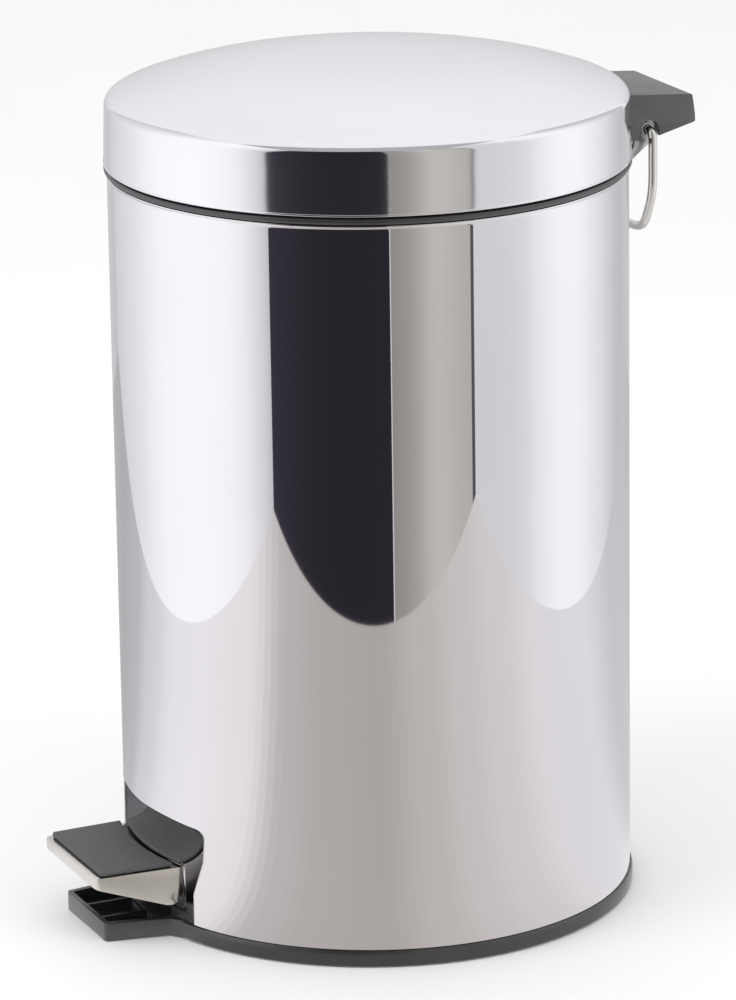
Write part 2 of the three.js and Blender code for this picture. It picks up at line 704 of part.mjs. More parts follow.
function bucket() {
  const flangeTop = bucketTop + bucketSheet - 0.1;
  const shell = turned([
    [0, bucketBottom], [bucketFoot - 2, bucketBottom], [bucketFoot, bucketBottom + 2],
    [bucketRadius, bucketTop], [flangeRadius, bucketTop], [flangeRadius, flangeTop],
    [bucketRadius - bucketSheet, flangeTop], [bucketFoot - 1.1, bucketBottom + 1 + bucketSheet],
    [bucketFoot - 2, bucketBottom + bucketSheet], [0, bucketBottom + bucketSheet],
  ], 60);
  const rodHeadRoom = box([-12, 108, 350], [12, 125, 370]);
  return shell.subtract(rodHeadRoom);
}

piece('bucket', bucket(), galvanised);

['left', 'right'].forEach((side, i) => {
  const corners = [[-6, 361.8, 0], [6, 361.8, 0], [4, 370.4, 3], [-4, 370.4, 3]];
  const near = i === 0 ? -bailRadius - 3.6 : bailRadius + 2;
  const hole = cylinderX(0, bailZ, bailWire + 0.4, -130, 130);
  piece(`bail_ear_${side}`, prismX(corners, near, near + 1.6).subtract(hole), galvanised);
});

// Arc about the body's axis at the bail's height, centred on the front.
class BailArc extends THREE.Curve {
  constructor(sweep) {
    super();
    this.sweep = THREE.MathUtils.degToRad(sweep);
  }

  getPoint(t, target = new THREE.Vector3()) {
    const angle = -Math.PI / 2 + this.sweep * (0.5 - t);
    return target.set(bailRadius * Math.cos(angle), bailRadius * Math.sin(angle), bailZ);
  }
}

// Half-round wire that lies over the front half of the bucket's flange, its ends in the two ears.
const bailEnds = mirrored(cylinderX(0, bailZ, bailWire, bailRadius - 0.5, bailRadius + 5, 8));
piece('bail_wire', roundBar(new BailArc(180), bailWire, 32).add(bailEnds), galvanised);
piece('bail_grip', roundBar(new BailArc(22), 3.9, 10, 12, bailWire + 0.4), blackPlastic);

export default bin;
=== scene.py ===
import json
import math

import bmesh
import bpy
from mathutils import Matrix, Vector

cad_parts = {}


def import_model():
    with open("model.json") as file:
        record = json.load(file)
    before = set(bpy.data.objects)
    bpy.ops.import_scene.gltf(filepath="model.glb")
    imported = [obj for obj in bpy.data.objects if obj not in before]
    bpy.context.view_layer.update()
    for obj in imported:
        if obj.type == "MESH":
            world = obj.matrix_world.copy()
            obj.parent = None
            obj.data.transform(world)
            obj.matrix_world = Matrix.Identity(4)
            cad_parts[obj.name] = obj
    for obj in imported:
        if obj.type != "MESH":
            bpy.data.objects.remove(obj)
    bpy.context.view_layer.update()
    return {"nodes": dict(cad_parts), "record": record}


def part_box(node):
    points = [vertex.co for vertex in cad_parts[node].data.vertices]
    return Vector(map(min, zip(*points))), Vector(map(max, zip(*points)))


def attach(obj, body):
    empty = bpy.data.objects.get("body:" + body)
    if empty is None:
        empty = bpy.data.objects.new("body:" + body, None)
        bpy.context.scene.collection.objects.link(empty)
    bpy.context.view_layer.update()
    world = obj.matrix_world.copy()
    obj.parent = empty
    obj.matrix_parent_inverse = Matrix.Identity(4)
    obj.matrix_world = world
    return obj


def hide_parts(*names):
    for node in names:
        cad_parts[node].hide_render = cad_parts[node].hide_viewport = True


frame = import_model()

# Pedal bin. Outlines are in millimetres in the shared frame, and new_object turns them into metres.
MM = 0.001
RECORD = frame["record"]
BODY_OF = {node: body for body, nodes in RECORD["behaviour"]["bodies"].items() for node in nodes}
SLOT_OF = {part["node"]: part["material_slot"] for part in RECORD["subparts"]}


def box_mm(node):
    """The low and high corners of a CAD node's box, in millimetres."""
    low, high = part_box(node)
    return low / MM, high / MM


# ---------------------------------------------------------------- driving dimensions, from the frame

body_low, body_high = box_mm("body_shell")
lid_low, lid_high = box_mm("lid_shell")
rim_low, rim_high = box_mm("rim_ring")
recess_high = box_mm("toe_recess")[1]
bucket_low, bucket_high = box_mm("bucket")

SHEET = 0.8                                 # thickness of the body's and the lid's steel
ROLL = 0.5                                  # how far the body's rolled top edge stands out
BODY_RADIUS = body_high.x - ROLL
BODY_BOTTOM = body_low.z
BODY_TOP = body_high.z
SKIRT_BOTTOM = lid_high.x - 0.3             # lid skirt just above its hem
SKIRT_TOP = SKIRT_BOTTOM - 0.9
LID_HEM = lid_low.z
LID_TOP = lid_high.z
DOME_RISE = 16.5
LID_SHOULDER = LID_TOP - DOME_RISE
HINGE = next(j for j in RECORD["behaviour"]["joints"] if j["name"] == "lid_hinge")
HINGE_Y = HINGE["pos_m"][1] / MM
HINGE_Z = HINGE["pos_m"][2] / MM
SEGMENTS = 256                              # round the body, the lid and the rings
SHARP_ANGLE = 32                            # edges that turn more than this stay sharp or get rounded
CRANK_ROOM = 8                              # half the width of the slots for the lid's crank


# ---------------------------------------------------------------- meshes

def placed(name, data):
    """A new object that is linked to the scene."""
    obj = bpy.data.objects.new(name, data)
    bpy.context.scene.collection.objects.link(obj)
    return obj


def new_object(name, bm, smooth_angle=SHARP_ANGLE):
    """An object from a bmesh in millimetres; edges sharper than smooth_angle stay sharp."""
    bmesh.ops.recalc_face_normals(bm, faces=bm.faces)
    bmesh.ops.scale(bm, vec=(MM, MM, MM), verts=bm.verts)
    mesh = bpy.data.meshes.new(name)
    bm.to_mesh(mesh)
    bm.free()
    obj = placed(name, mesh)
    shade(obj, smooth_angle)
    return obj


def shade(obj, smooth_angle):
    """Smooth shading, with sharp edges where the faces turn more than smooth_angle degrees."""
    obj.data.shade_smooth()
    obj.data.set_sharp_from_angle(angle=math.radians(smooth_angle))


def freeze(obj, smooth_angle=SHARP_ANGLE):
    """Applies an object's modifiers to its mesh."""
    depsgraph = bpy.context.evaluated_depsgraph_get()
    old = obj.data
    obj.data = bpy.data.meshes.new_from_object(obj.evaluated_get(depsgraph))
    obj.data.name = obj.name
    obj.modifiers.clear()
    bpy.data.meshes.remove(old)
    shade(obj, smooth_angle)
    return obj


def cut(obj, *tools):
    """Takes the tools' shapes out of an object, and removes the tools."""
    for tool in tools:
        modifier = obj.modifiers.new("difference", "BOOLEAN")
        modifier.operation = "DIFFERENCE"
        modifier.solver = "EXACT"
        modifier.object = tool
        freeze(obj)
        bpy.data.objects.remove(tool)
    return obj


def rounded_edges(obj, width, angle=SHARP_ANGLE):
    """Rounds every edge sharper than angle by width millimetres."""
    same_place = 0.01
    flat_angle = 0.6
    smooth_angle = 40
    bm = bmesh.new()
    bm.from_mesh(obj.data)
    bmesh.ops.remove_doubles(bm, verts=bm.verts, dist=same_place * MM)
    bmesh.ops.dissolve_limit(bm, angle_limit=math.radians(flat_angle), verts=bm.verts, edges=bm.edges)
    bm.to_mesh(obj.data)
    bm.free()
    bevel = obj.modifiers.new("edges", "BEVEL")
    bevel.limit_method = "ANGLE"
    bevel.angle_limit = math.radians(angle)
    bevel.width = width * MM
    bevel.segments = 3
    bevel.use_clamp_overlap = True
    bevel.harden_normals = False
    return freeze(obj, smooth_angle)


def turned(name, profile, segments=SEGMENTS, axis="Z", centre=(0, 0, 0)):
    """A ring or disc from [radius, height] points in millimetres; the outline closes on itself."""
    bm = bmesh.new()
    angles = [2 * math.pi * k / segments for k in range(segments)]
    rows = []
    for radius, height in profile:
        if radius < 1e-6:
            rows.append([bm.verts.new((0, 0, height))])
        else:
            rows.append([bm.verts.new((radius * math.cos(a), radius * math.sin(a), height)) for a in angles])
    for lower, upper in zip(rows, rows[1:] + rows[:1]):
        for k in range(segments):
            ring = [lower[k % len(lower)], lower[(k + 1) % len(lower)]]
            ring += [upper[(k + 1) % len(upper)], upper[k % len(upper)]]
            corners = list(dict.fromkeys(ring))
            if len(corners) > 2:
                bm.faces.new(corners)
    turns = {"Z": Matrix.Identity(3), "Y": Matrix.Rotation(math.radians(-90), 3, "X")}
    bmesh.ops.rotate(bm, matrix=turns[axis], verts=bm.verts)
    bmesh.ops.translate(bm, vec=centre, verts=bm.verts)
    return new_object(name, bm)


def rounded(corners, steps=8):
    """Points of an outline whose corners (x, y, radius) are rounded by arcs."""
    points = []
    places = [Vector(corner[:2]) for corner in corners]
    for i, corner in enumerate(corners):
        here = places[i]
        radius = corner[2] if len(corner) > 2 else 0
        if radius == 0:
            points.append(here)
            continue
        before = (places[i - 1] - here).normalized()
        after = (places[(i + 1) % len(places)] - here).normalized()
        half = before.angle(after) / 2
        start = here + before * (radius / math.tan(half))
        centre = here + (before + after).normalized() * (radius / math.sin(half))
        sweep = (math.pi - 2 * half) * (1 if before.cross(after) < 0 else -1)
        for k in range(steps + 1):
            spoke = start - centre
            spoke.rotate(Matrix.Rotation(sweep * k / steps, 2))
            points.append(centre + spoke)
    return points


def mirror_corners(corners):
    """An outline's right half with its mirror image added."""
    return corners + [(-corner[0], *corner[1:]) for corner in reversed(corners)]


PRISM_AXES = {
    "Y": lambda u, v, w: (u, w, v),
    "Z": lambda u, v, w: (u, v, w),
}


def prism(name, corners, axis, low, high):
    """A solid whose outline lies across one axis and which runs between two values on it."""
    place = PRISM_AXES[axis]
    bm = bmesh.new()
    points = rounded(corners)
    ends = [[bm.verts.new(place(p.x, p.y, w)) for p in points] for w in (low, high)]
    bm.faces.new(ends[0])
    bm.faces.new(ends[1])
    count = len(points)
    for k in range(count):
        bm.faces.new((ends[0][k], ends[0][(k + 1) % count], ends[1][(k + 1) % count], ends[1][k]))
    return new_object(name, bm)


def block(name, low, high):
    """A box between two corners."""
    corners = [(low[0], low[1]), (high[0], low[1]), (high[0], high[1]), (low[0], high[1])]
    return prism(name, corners, "Z", low[2], high[2])


def tube(name, path, radius, sides=24):
    """A bar of round section along a path of points in millimetres."""
    smooth_angle = 60
    path = [Vector(p) for p in path]
    bm = bmesh.new()
    rings = []
    across = None
    for before, point, after in zip([path[0], *path], path, [*path[1:], path[-1]]):
        along = (after - before).normalized()
        if across is None:
            across = along.orthogonal().normalized()
        across = (across - along * across.dot(along)).normalized()
        other = along.cross(across)
        rings.append([
            bm.verts.new(point + across * radius * math.cos(2 * math.pi * k / sides)
                         + other * radius * math.sin(2 * math.pi * k / sides))
            for k in range(sides)
        ])
    for lower, upper in zip(rings, rings[1:]):
        for k in range(sides):
            bm.faces.new((lower[k], lower[(k + 1) % sides], upper[(k + 1) % sides], upper[k]))
    bm.faces.new(rings[0])
    bm.faces.new(rings[-1])
    return new_object(name, bm, smooth_angle)


def catmull_rom(points, steps):
    """A smooth curve through the points."""
    points = [Vector(p) for p in points]
    ends = [points[0] * 2 - points[1], *points, points[-1] * 2 - points[-2]]
    curve = []
    for a, b, c, d in zip(ends, ends[1:], ends[2:], ends[3:]):
        for k in range(steps):
            t = k / steps
            curve.append(0.5 * (2 * b + (c - a) * t + (2 * a - 5 * b + 4 * c - d) * t * t
                                + (3 * b - a - 3 * c + d) * t ** 3))
    curve.append(points[-1])
    return curve


def arc(centre, radius, start, end, steps):
    """Points of an arc between two angles in degrees."""
    angles = [math.radians(start + (end - start) * k / steps) for k in range(steps + 1)]
    return [(centre[0] + radius * math.cos(a), centre[1] + radius * math.sin(a)) for a in angles]


# ---------------------------------------------------------------- materials

def shader(name, base_color, metallic, roughness):
    """A material with its Principled shader, and the piece's own coordinates in metres."""
    material = bpy.data.materials.new(name)
    material.use_nodes = True
    tree = material.node_tree
    bsdf = tree.nodes["Principled BSDF"]
    bsdf.inputs["Base Color"].default_value = (*base_color, 1)
    bsdf.inputs["Metallic"].default_value = metallic
    bsdf.inputs["Roughness"].default_value = roughness
    place = tree.nodes.new("ShaderNodeTexCoord").outputs["Object"]
    return material, tree, bsdf, place


def stretched(tree, place, scale):
    """Coordinates scaled by its own amount along each axis."""
    mapping = tree.nodes.new("ShaderNodeMapping")
    mapping.inputs["Scale"].default_value = scale
    tree.links.new(place, mapping.inputs["Vector"])
    return mapping.outputs["Vector"]


def noise(tree, place, scale, detail=4, rough=0.5):
    """Cloudy values about 0.5."""
    node = tree.nodes.new("ShaderNodeTexNoise")
    node.inputs["Scale"].default_value = scale
    node.inputs["Detail"].default_value = detail
    node.inputs["Roughness"].default_value = rough
    tree.links.new(place, node.inputs["Vector"])
    return node.outputs["Fac"]


def ranged(tree, value, low, high, start=0.3, end=0.7):
    """A value between start and end, spread from low to high."""
    node = tree.nodes.new("ShaderNodeMapRange")
    node.inputs["From Min"].default_value = start
    node.inputs["From Max"].default_value = end
    node.inputs["To Min"].default_value = low
    node.inputs["To Max"].default_value = high
    tree.links.new(value, node.inputs["Value"])
    return node.outputs["Result"]


def tinted(tree, value, dark, light, start=0.3, end=0.7):
    """A colour that goes from dark to light as the value goes from start to end."""
    node = tree.nodes.new("ShaderNodeValToRGB")
    node.color_ramp.elements[0].position = start
    node.color_ramp.elements[0].color = (*dark, 1)
    node.color_ramp.elements[1].position = end
    node.color_ramp.elements[1].color = (*light, 1)
    tree.links.new(value, node.inputs["Fac"])
    return node.outputs["Color"]


def bumped(tree, bsdf, height, distance, strength):
    """Adds small relief, so many metres deep, to what the shader has already."""
    node = tree.nodes.new("ShaderNodeBump")
    node.inputs["Distance"].default_value = distance
    node.inputs["Strength"].default_value = strength
    tree.links.new(height, node.inputs["Height"])
    if bsdf.inputs["Normal"].links:
        tree.links.new(bsdf.inputs["Normal"].links[0].from_socket, node.inputs["Normal"])
    tree.links.new(node.outputs["Normal"], bsdf.inputs["Normal"])


def polished_steel(name, dark, light, low, high):
    """Mirror-bright sheet: faint cloudy smears in its gloss and the slight waviness of rolled sheet."""
    material, tree, bsdf, place = shader(name, light, 1, low)
    smears = noise(tree, stretched(tree, place, (9, 9, 3)), 1, 5, 0.55)
    tree.links.new(ranged(tree, smears, low, high), bsdf.inputs["Roughness"])
    clouds = noise(tree, place, 6, 3)
    tree.links.new(tinted(tree, clouds, dark, light), bsdf.inputs["Base Color"])
    waves = noise(tree, stretched(tree, place, (9, 9, 3)), 1, 1)
    bumped(tree, bsdf, waves, 0.00025, 0.5)
    return material


def chrome(name):
    """Bright plating with a few handling smears."""
    material, tree, bsdf, place = shader(name, (0.74, 0.725, 0.69), 1, 0.08)
    smears = noise(tree, place, 45, 5, 0.6)
    tree.links.new(ranged(tree, smears, 0.05, 0.16), bsdf.inputs["Roughness"])
    tree.links.new(tinted(tree, smears, (0.70, 0.685, 0.65), (0.77, 0.755, 0.72)), bsdf.inputs["Base Color"])
    bumped(tree, bsdf, noise(tree, place, 90, 2), 0.00003, 0.5)
    return material


def plain_steel(name):
    """Bright drawn steel: fine lines along its length and duller patches."""
    material, tree, bsdf, place = shader(name, (0.55, 0.56, 0.57), 1, 0.3)
    patches = noise(tree, place, 60, 5, 0.6)
    tree.links.new(ranged(tree, patches, 0.22, 0.45), bsdf.inputs["Roughness"])
    tree.links.new(tinted(tree, patches, (0.42, 0.43, 0.44), (0.62, 0.63, 0.64)), bsdf.inputs["Base Color"])
    lines = noise(tree, stretched(tree, place, (400, 400, 2600)), 1, 3)
    bumped(tree, bsdf, lines, 0.00002, 0.5)
    return material


def galvanised(name):
    """Zinc spangle: flat crystals of slightly different grey and gloss."""
    material, tree, bsdf, place = shader(name, (0.55, 0.57, 0.58), 1, 0.45)
    cells = tree.nodes.new("ShaderNodeTexVoronoi")
    cells.inputs["Scale"].default_value = 95
    cells.inputs["Randomness"].default_value = 1
    warped = noise(tree, place, 160, 3)
    tree.links.new(place, cells.inputs["Vector"])
    shade_of_cell = tree.nodes.new("ShaderNodeSeparateColor")
    tree.links.new(cells.outputs["Color"], shade_of_cell.inputs["Color"])
    grey = shade_of_cell.outputs["Red"]
    spangle = tinted(tree, grey, (0.44, 0.46, 0.47), (0.62, 0.64, 0.65), 0, 1)
    tree.links.new(spangle, bsdf.inputs["Base Color"])
    tree.links.new(ranged(tree, shade_of_cell.outputs["Green"], 0.34, 0.52, 0, 1), bsdf.inputs["Roughness"])
    bumped(tree, bsdf, warped, 0.00006, 0.5)
    return material


def plastic(name, dark, light, low, high, grain, gloss):
    """Moulded plastic: fine spark-eroded grain and an uneven sheen."""
    material, tree, bsdf, place = shader(name, light, 0, low)
    bsdf.inputs["Specular IOR Level"].default_value = gloss
    clouds = noise(tree, place, 35, 5, 0.6)
    tree.links.new(tinted(tree, clouds, dark, light), bsdf.inputs["Base Color"])
    tree.links.new(ranged(tree, clouds, low, high), bsdf.inputs["Roughness"])
    bumped(tree, bsdf, noise(tree, place, 2200, 3, 0.6), grain, 0.6)
    return material


def pad_rubber(name):
    """Dark rubber with a fine leather-like grain: small raised cells parted by creases."""
    material, tree, bsdf, place = shader(name, (0.075, 0.075, 0.078), 0, 0.6)
    bsdf.inputs["Specular IOR Level"].default_value = 0.4
    cells = tree.nodes.new("ShaderNodeTexVoronoi")
    cells.feature = "DISTANCE_TO_EDGE"
    cells.inputs["Scale"].default_value = 950
    tree.links.new(place, cells.inputs["Vector"])
    creases = ranged(tree, cells.outputs["Distance"], 0, 1, 0, 0.16)
    mottle = noise(tree, place, 700, 4, 0.7)
    blacks = tinted(tree, mottle, (0.062, 0.062, 0.064), (0.122, 0.122, 0.125))
    tree.links.new(blacks, bsdf.inputs["Base Color"])
    tree.links.new(ranged(tree, mottle, 0.5, 0.72), bsdf.inputs["Roughness"])
    bumped(tree, bsdf, creases, 0.00010, 0.6)
    bumped(tree, bsdf, noise(tree, place, 260, 3), 0.00016, 0.6)
    return material


BODY_DARK = (0.80, 0.79, 0.82)
BODY_LIGHT = (0.85, 0.84, 0.87)
LID_DARK = (0.82, 0.81, 0.84)
LID_LIGHT = (0.87, 0.86, 0.89)
RECESS_DARK = (0.84, 0.83, 0.86)
RECESS_LIGHT = (0.9, 0.89, 0.92)
BLACK_DARK = (0.020, 0.020, 0.021)
BLACK_LIGHT = (0.032, 0.032, 0.034)
GREY_DARK = (0.045, 0.045, 0.047)
GREY_LIGHT = (0.062, 0.062, 0.064)
MATERIALS = {
    "polished_steel": polished_steel("polished_steel", BODY_DARK, BODY_LIGHT, 0.012, 0.03),
    "lid_steel": polished_steel("lid_steel", LID_DARK, LID_LIGHT, 0.07, 0.13),
    "plain_steel": plain_steel("plain_steel"),
    "chrome": chrome("chrome"),
    "galvanised_steel": galvanised("galvanised_steel"),
    "black_plastic": plastic("black_plastic", BLACK_DARK, BLACK_LIGHT, 0.36, 0.5, grain=0.00004, gloss=0.45),
    "housing_plastic": plastic("housing_plastic", GREY_DARK, GREY_LIGHT, 0.3, 0.42, grain=0.00004, gloss=0.8),
    "rubber": pad_rubber("rubber"),
    "recess_steel": polished_steel("recess_steel", RECESS_DARK, RECESS_LIGHT, 0.38, 0.5),
    "base_plastic": plastic("base_plastic", BLACK_DARK, BLACK_LIGHT, 0.24, 0.36, grain=0.00003, gloss=0.9),
}
# Pieces whose finish differs from their slot's.
FINISH_OF = {"toe_recess": "recess_steel", "base_moulding": "base_plastic", "rim_ring": "base_plastic"}


# ---------------------------------------------------------------- pieces on the frame

def stand_for(obj, node):
    """The piece takes the place, body and finish of a CAD node."""
    slot = SLOT_OF[node]
    obj.data.materials.clear()
    obj.data.materials.append(MATERIALS[FINISH_OF.get(node, slot)])
    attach(obj, BODY_OF[node])
    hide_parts(node)
    return obj


def refined(node, width):
    """A copy of a CAD node's solid with its edges rounded."""
    obj = placed(f"{node}_fine", frame["nodes"][node].data.copy())
    rounded_edges(obj, width)
    return stand_for(obj, node)


# Outline of the toe opening in the wall, seen from the front, in X and Z.
OPENING = [
    (44, -5, 0), (44.2, 24, 6), (50.6, 42, 6), (recess_high.x - 0.5, recess_high.z - 2, 5), (26, 59.4, 0),
]


def crank_slot():
    """The tool that makes room in the wall and the rim for the lid's crank."""
    return block("crank_slot", (-CRANK_ROOM, 100, 352), (CRANK_ROOM, 150, 380))


def body_shell():
    """Round wall with a rolled top edge, a toe opening in front and the crank's slot behind."""
    inner = BODY_RADIUS - SHEET
    roll = arc((BODY_RADIUS, BODY_TOP - ROLL), ROLL, -60, 120, 8)
    rows = 24
    levels = [BODY_BOTTOM + (BODY_TOP - 4 - BODY_BOTTOM) * k / rows for k in range(rows + 1)]
    levels += [BODY_TOP - 2.5, BODY_TOP - 1.4]
    profile = [(BODY_RADIUS, z) for z in levels] + roll
    profile += [(inner, BODY_TOP - 0.2), (inner, BODY_BOTTOM)]
    shell = turned("body_shell_fine", profile)
    opening = prism("opening", mirror_corners(OPENING), "Y", -140, -80)
    return stand_for(cut(shell, opening, crank_slot()), "body_shell")


def opening_edge():
    """Rolled edge of the toe opening, following the wall."""
    roll_radius = 0.55
    outline = [p for p in rounded(mirror_corners(OPENING), 10) if p.y > BODY_BOTTOM]
    path = []
    for start, end in zip(outline, outline[1:]):
        pieces = max(1, int((end - start).length / 4))
        path += [start.lerp(end, k / pieces) for k in range(pieces)]
    path.append(outline[-1])
    around = BODY_RADIUS - SHEET / 2
    first = Vector((outline[0].x, BODY_BOTTOM + 0.1))
    last = Vector((outline[-1].x, BODY_BOTTOM + 0.1))
    points = [(p.x, -math.sqrt(around ** 2 - p.x ** 2), p.y) for p in [first, *path, last]]
    edge = tube("toe_opening_edge", points, roll_radius, 12)
    edge.data.materials.append(MATERIALS["polished_steel"])
    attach(edge, "bin")


def lid_shell():
    """Domed sheet lid: a crown, a tight bend, a skirt that leans outwards and a rolled hem."""
    def dome(radius):
        return LID_SHOULDER + DOME_RISE * (1 - (radius / BODY_RADIUS) ** 3)

    def outline(inset):
        crown = [(r, dome(r) - inset) for r in [0, 15, 30, 45, 60, 70, 80, 88, 96, 103, 109, 114, 118, 121]]
        bend = (BODY_RADIUS + 0.3 - inset, LID_SHOULDER - 0.2 - inset)
        low = (SKIRT_TOP - inset, LID_SHOULDER - 3 - inset * 0.5)
        turn = []
        for k in range(1, 9):
            t = k / 8
            weights = ((1 - t) ** 2, 2 * t * (1 - t), t * t)
            turn.append(tuple(sum(w * p[i] for w, p in zip(weights, (crown[-1], bend, low))) for i in (0, 1)))
        skirt = [(SKIRT_TOP + (SKIRT_BOTTOM - SKIRT_TOP) * k / 4 - inset,
                  low[1] + (LID_HEM + 2 - low[1]) * k / 4) for k in range(1, 5)]
        return crown + turn + skirt

    lip = arc((SKIRT_BOTTOM - 0.35, LID_HEM + 0.65), 0.65, 60, -90, 8)
    profile = outline(0) + lip + [(SKIRT_BOTTOM - SHEET, LID_HEM)] + outline(SHEET)[::-1]
    shell = turned("lid_shell_fine", profile)
    notch = block("notch", (-CRANK_ROOM, 100, 360), (CRANK_ROOM, 140, 374))
    return stand_for(cut(shell, notch), "lid_shell")


def rim_ring():
    """Plastic ring on the wall's top edge, with a bead outside and a ledge inside for the bucket."""
    bead = rim_high.x
    top = rim_high.z
    inner = 121.5
    outside = [(124.6, BODY_TOP + 0.4), (bead - 0.9, BODY_TOP + 0.5)]
    outside += arc((bead - 1.4, BODY_TOP + 1.9), 1.4, -60, 60, 8)
    outside += [(bead - 1.5, top - 0.15), (bead - 2, top)]
    inside = [(inner, top), (inner, 360), (113.8, 360), (113.5, 359.7), (113.5, 358), (121.7, 358)]
    clip = [(121.7, rim_low.z), (123.5, rim_low.z), (123.5, BODY_TOP + 0.4)]
    ring = turned("rim_ring_fine", outside + inside + clip)
    slot = crank_slot()
    rod_room = block("rod_room", (-12, 100, 340), (12, 124.2, 362.6))
    return stand_for(cut(ring, slot, rod_room), "rim_ring")


def non_slip_ring():
    """Flat rubber ring with a groove round its underside."""
    high = box_mm("non_slip_ring")[1]
    outer = high.x
    inner = outer - 9
    mid = (outer + inner) / 2
    profile = [(inner, high.z), (inner, 0.5), (inner + 0.5, 0), (mid - 1, 0), (mid - 0.6, 0.5),
               (mid + 0.6, 0.5), (mid + 1, 0), (outer - 0.5, 0), (outer, 0.5), (outer, high.z)]
    return stand_for(turned("non_slip_ring_fine", profile), "non_slip_ring")


def bucket():
    """Tapered zinc bucket with pressed beads, a flange round its top and a dished floor."""
    bottom = bucket_low.z
    top = bucket_high.z
    flange = bucket_high.x
    foot = 92
    wall_top = 107.5
    sheet = 1.2
    beads = (110, 325)                       # heights of the pressed beads round the wall

    def wall(height, inset):
        share = (height - bottom) / (top - bottom)
        swell = sum(0.9 * math.exp(-((height - bead) / 1.6) ** 2) for bead in beads)
        return foot + (wall_top - foot) * share - swell - inset

    heights = [bottom + 3]
    for bead in beads:
        heights += [bead + 0.8 * k for k in range(-5, 6)]
    heights.append(top - 3)
    outside = [(0, bottom + 1.5), (foot - 14, bottom + 1.5), (foot - 11, bottom), (foot - 3, bottom)]
    outside += [(foot - 0.8, bottom + 0.9)] + [(wall(z, 0), z) for z in heights]
    outside += [(wall_top - 0.1, top - 1.4), (wall_top + 0.6, top - 1.1)]
    rim = [(flange - 0.4, top - 1.1), (flange, top - 0.75), (flange, top - 0.35), (flange - 0.4, top)]
    inside = [(wall_top + 0.6, top), (wall_top - 0.7, top - 0.4)]
    inside += [(wall(z, sheet), z) for z in reversed(heights)]
    inside += [(foot - 3, bottom + sheet), (foot - 11, bottom + sheet), (foot - 14, bottom + 1.5 + sheet)]
    inside.append((0, bottom + 1.5 + sheet))
    shell = turned("bucket_fine", outside + rim + inside, 192)
    return stand_for(cut(shell, block("rod_head_room", (-12, 108, 350), (12, 125, 370))), "bucket")


def carry_handle():
    """Wire loop that hangs from the hinge pin."""
    high = box_mm("carry_handle")[1]
    wire = 2.15
    leg = high.x - wire
    half = [(12, 0), (22, 0), (29.2, 0), (leg - 0.8, -1.6), (leg, -5), (leg, -14), (leg, -24.5),
            (31.6, -32.5), (28.2, -40), (25, -45.6), (20.5, -49), (12, -50.6)]
    side = [(x, HINGE_Y, HINGE_Z + drop) for x, drop in half]
    other = [(-x, y, z) for x, y, z in reversed(side)]
    return stand_for(tube("carry_handle_fine", catmull_rom(side + other, 6), wire), "carry_handle")


def bail_arc(sweep, steps):
    """Points of so many degrees of the bail's half circle, about its middle."""
    low, high = box_mm("bail_wire")
    radius = 113
    height = (low.z + high.z) / 2
    angles = [math.radians(-90 + sweep * (0.5 - k / steps)) for k in range(steps + 1)]
    return [(radius * math.cos(a), radius * math.sin(a), height) for a in angles]


def bail():
    """Wire handle of the bucket, with bent-in ends and a grip."""
    ends = bail_arc(180, 96)
    right = (ends[0][0] + 5, 0, ends[0][2])
    left = (ends[-1][0] - 5, 0, ends[-1][2])
    near_right = (ends[0][0] + 1.2, -0.3, ends[0][2])
    near_left = (ends[-1][0] - 1.2, -0.3, ends[-1][2])
    path = [right, near_right, *ends[1:-1], near_left, left]
    stand_for(tube("bail_wire_fine", path, 1.5, 16), "bail_wire")
    grip = tube("bail_grip_fine", bail_arc(22, 44), 3.9)
    stand_for(rounded_edges(grip, 0.6, 60), "bail_grip")


def rivet(node):
    """Domed head outside, shank and set foot inside."""
    low, high = box_mm(node)
    x = (low.x + high.x) / 2
    z = (low.z + high.z) / 2
    head = 3.2
    out = high.y
    rise = 1.1
    shank = 1.8
    angles = [math.radians(a) for a in range(15, 90, 15)]
    dome = [(head * math.cos(a), out - rise + rise * math.sin(a)) for a in angles]
    profile = [(0, low.y), (2.4, low.y), (2.8, low.y + 0.4), (2.8, low.y + 1), (shank, low.y + 1.1),
               (shank, out - rise), (head, out - rise), *dome, (0, out)]
    stand_for(turned(f"{node}_fine", profile, 40, "Y", (x, 0, z)), node)


body_shell()
opening_edge()
lid_shell()
rim_ring()
non_slip_ring()
bucket()
carry_handle()
bail()
for index in range(1, 5):
    rivet(f"bracket_rivet_{index}")

# How far the edges of the other nodes are rounded, in millimetres.
EDGES = {
    "base_moulding": 0.5, "toe_recess": 0.25, "hinge_bracket": 0.4, "guard_cover": 0.5, "guard_pad": 0.8,
    "pedal_cover": 0.55, "pedal_pad": 0.8, "hinge_housing": 0.7, "pedal_lever": 0.4, "lid_crank": 0.3,
    "rod_head": 0.25, "push_rod": 0.3, "hinge_pin": 0.3, "pivot_pin": 0.4, "pivot_clip_left": 0.2,
    "pivot_clip_right": 0.2, "rod_guide_lower": 0.4, "rod_guide_upper": 0.4, "housing_screw_1": 0.4,
    "housing_screw_2": 0.4, "pedal_screw_1": 0.5, "pedal_screw_2": 0.5, "bail_ear_left": 0.3,
    "bail_ear_right": 0.3,
}
for node, width in EDGES.items():
    refined(node, width)


# ---------------------------------------------------------------- studio and camera

AZIMUTH = math.radians(66)
TOWARDS_CAMERA = Vector((math.sin(AZIMUTH), -math.cos(AZIMUTH), 0))
RIGHT = Vector((math.cos(AZIMUTH), math.sin(AZIMUTH), 0))
UP = Vector((0, 0, 1))


def studio_place(depth, side, height):
    """A point so far towards the camera, to its right, and above the floor, in metres."""
    return TOWARDS_CAMERA * depth + RIGHT * side + UP * height


BRIGHTEST = 1.25               # above every card's strength, because a curve's values end at 1


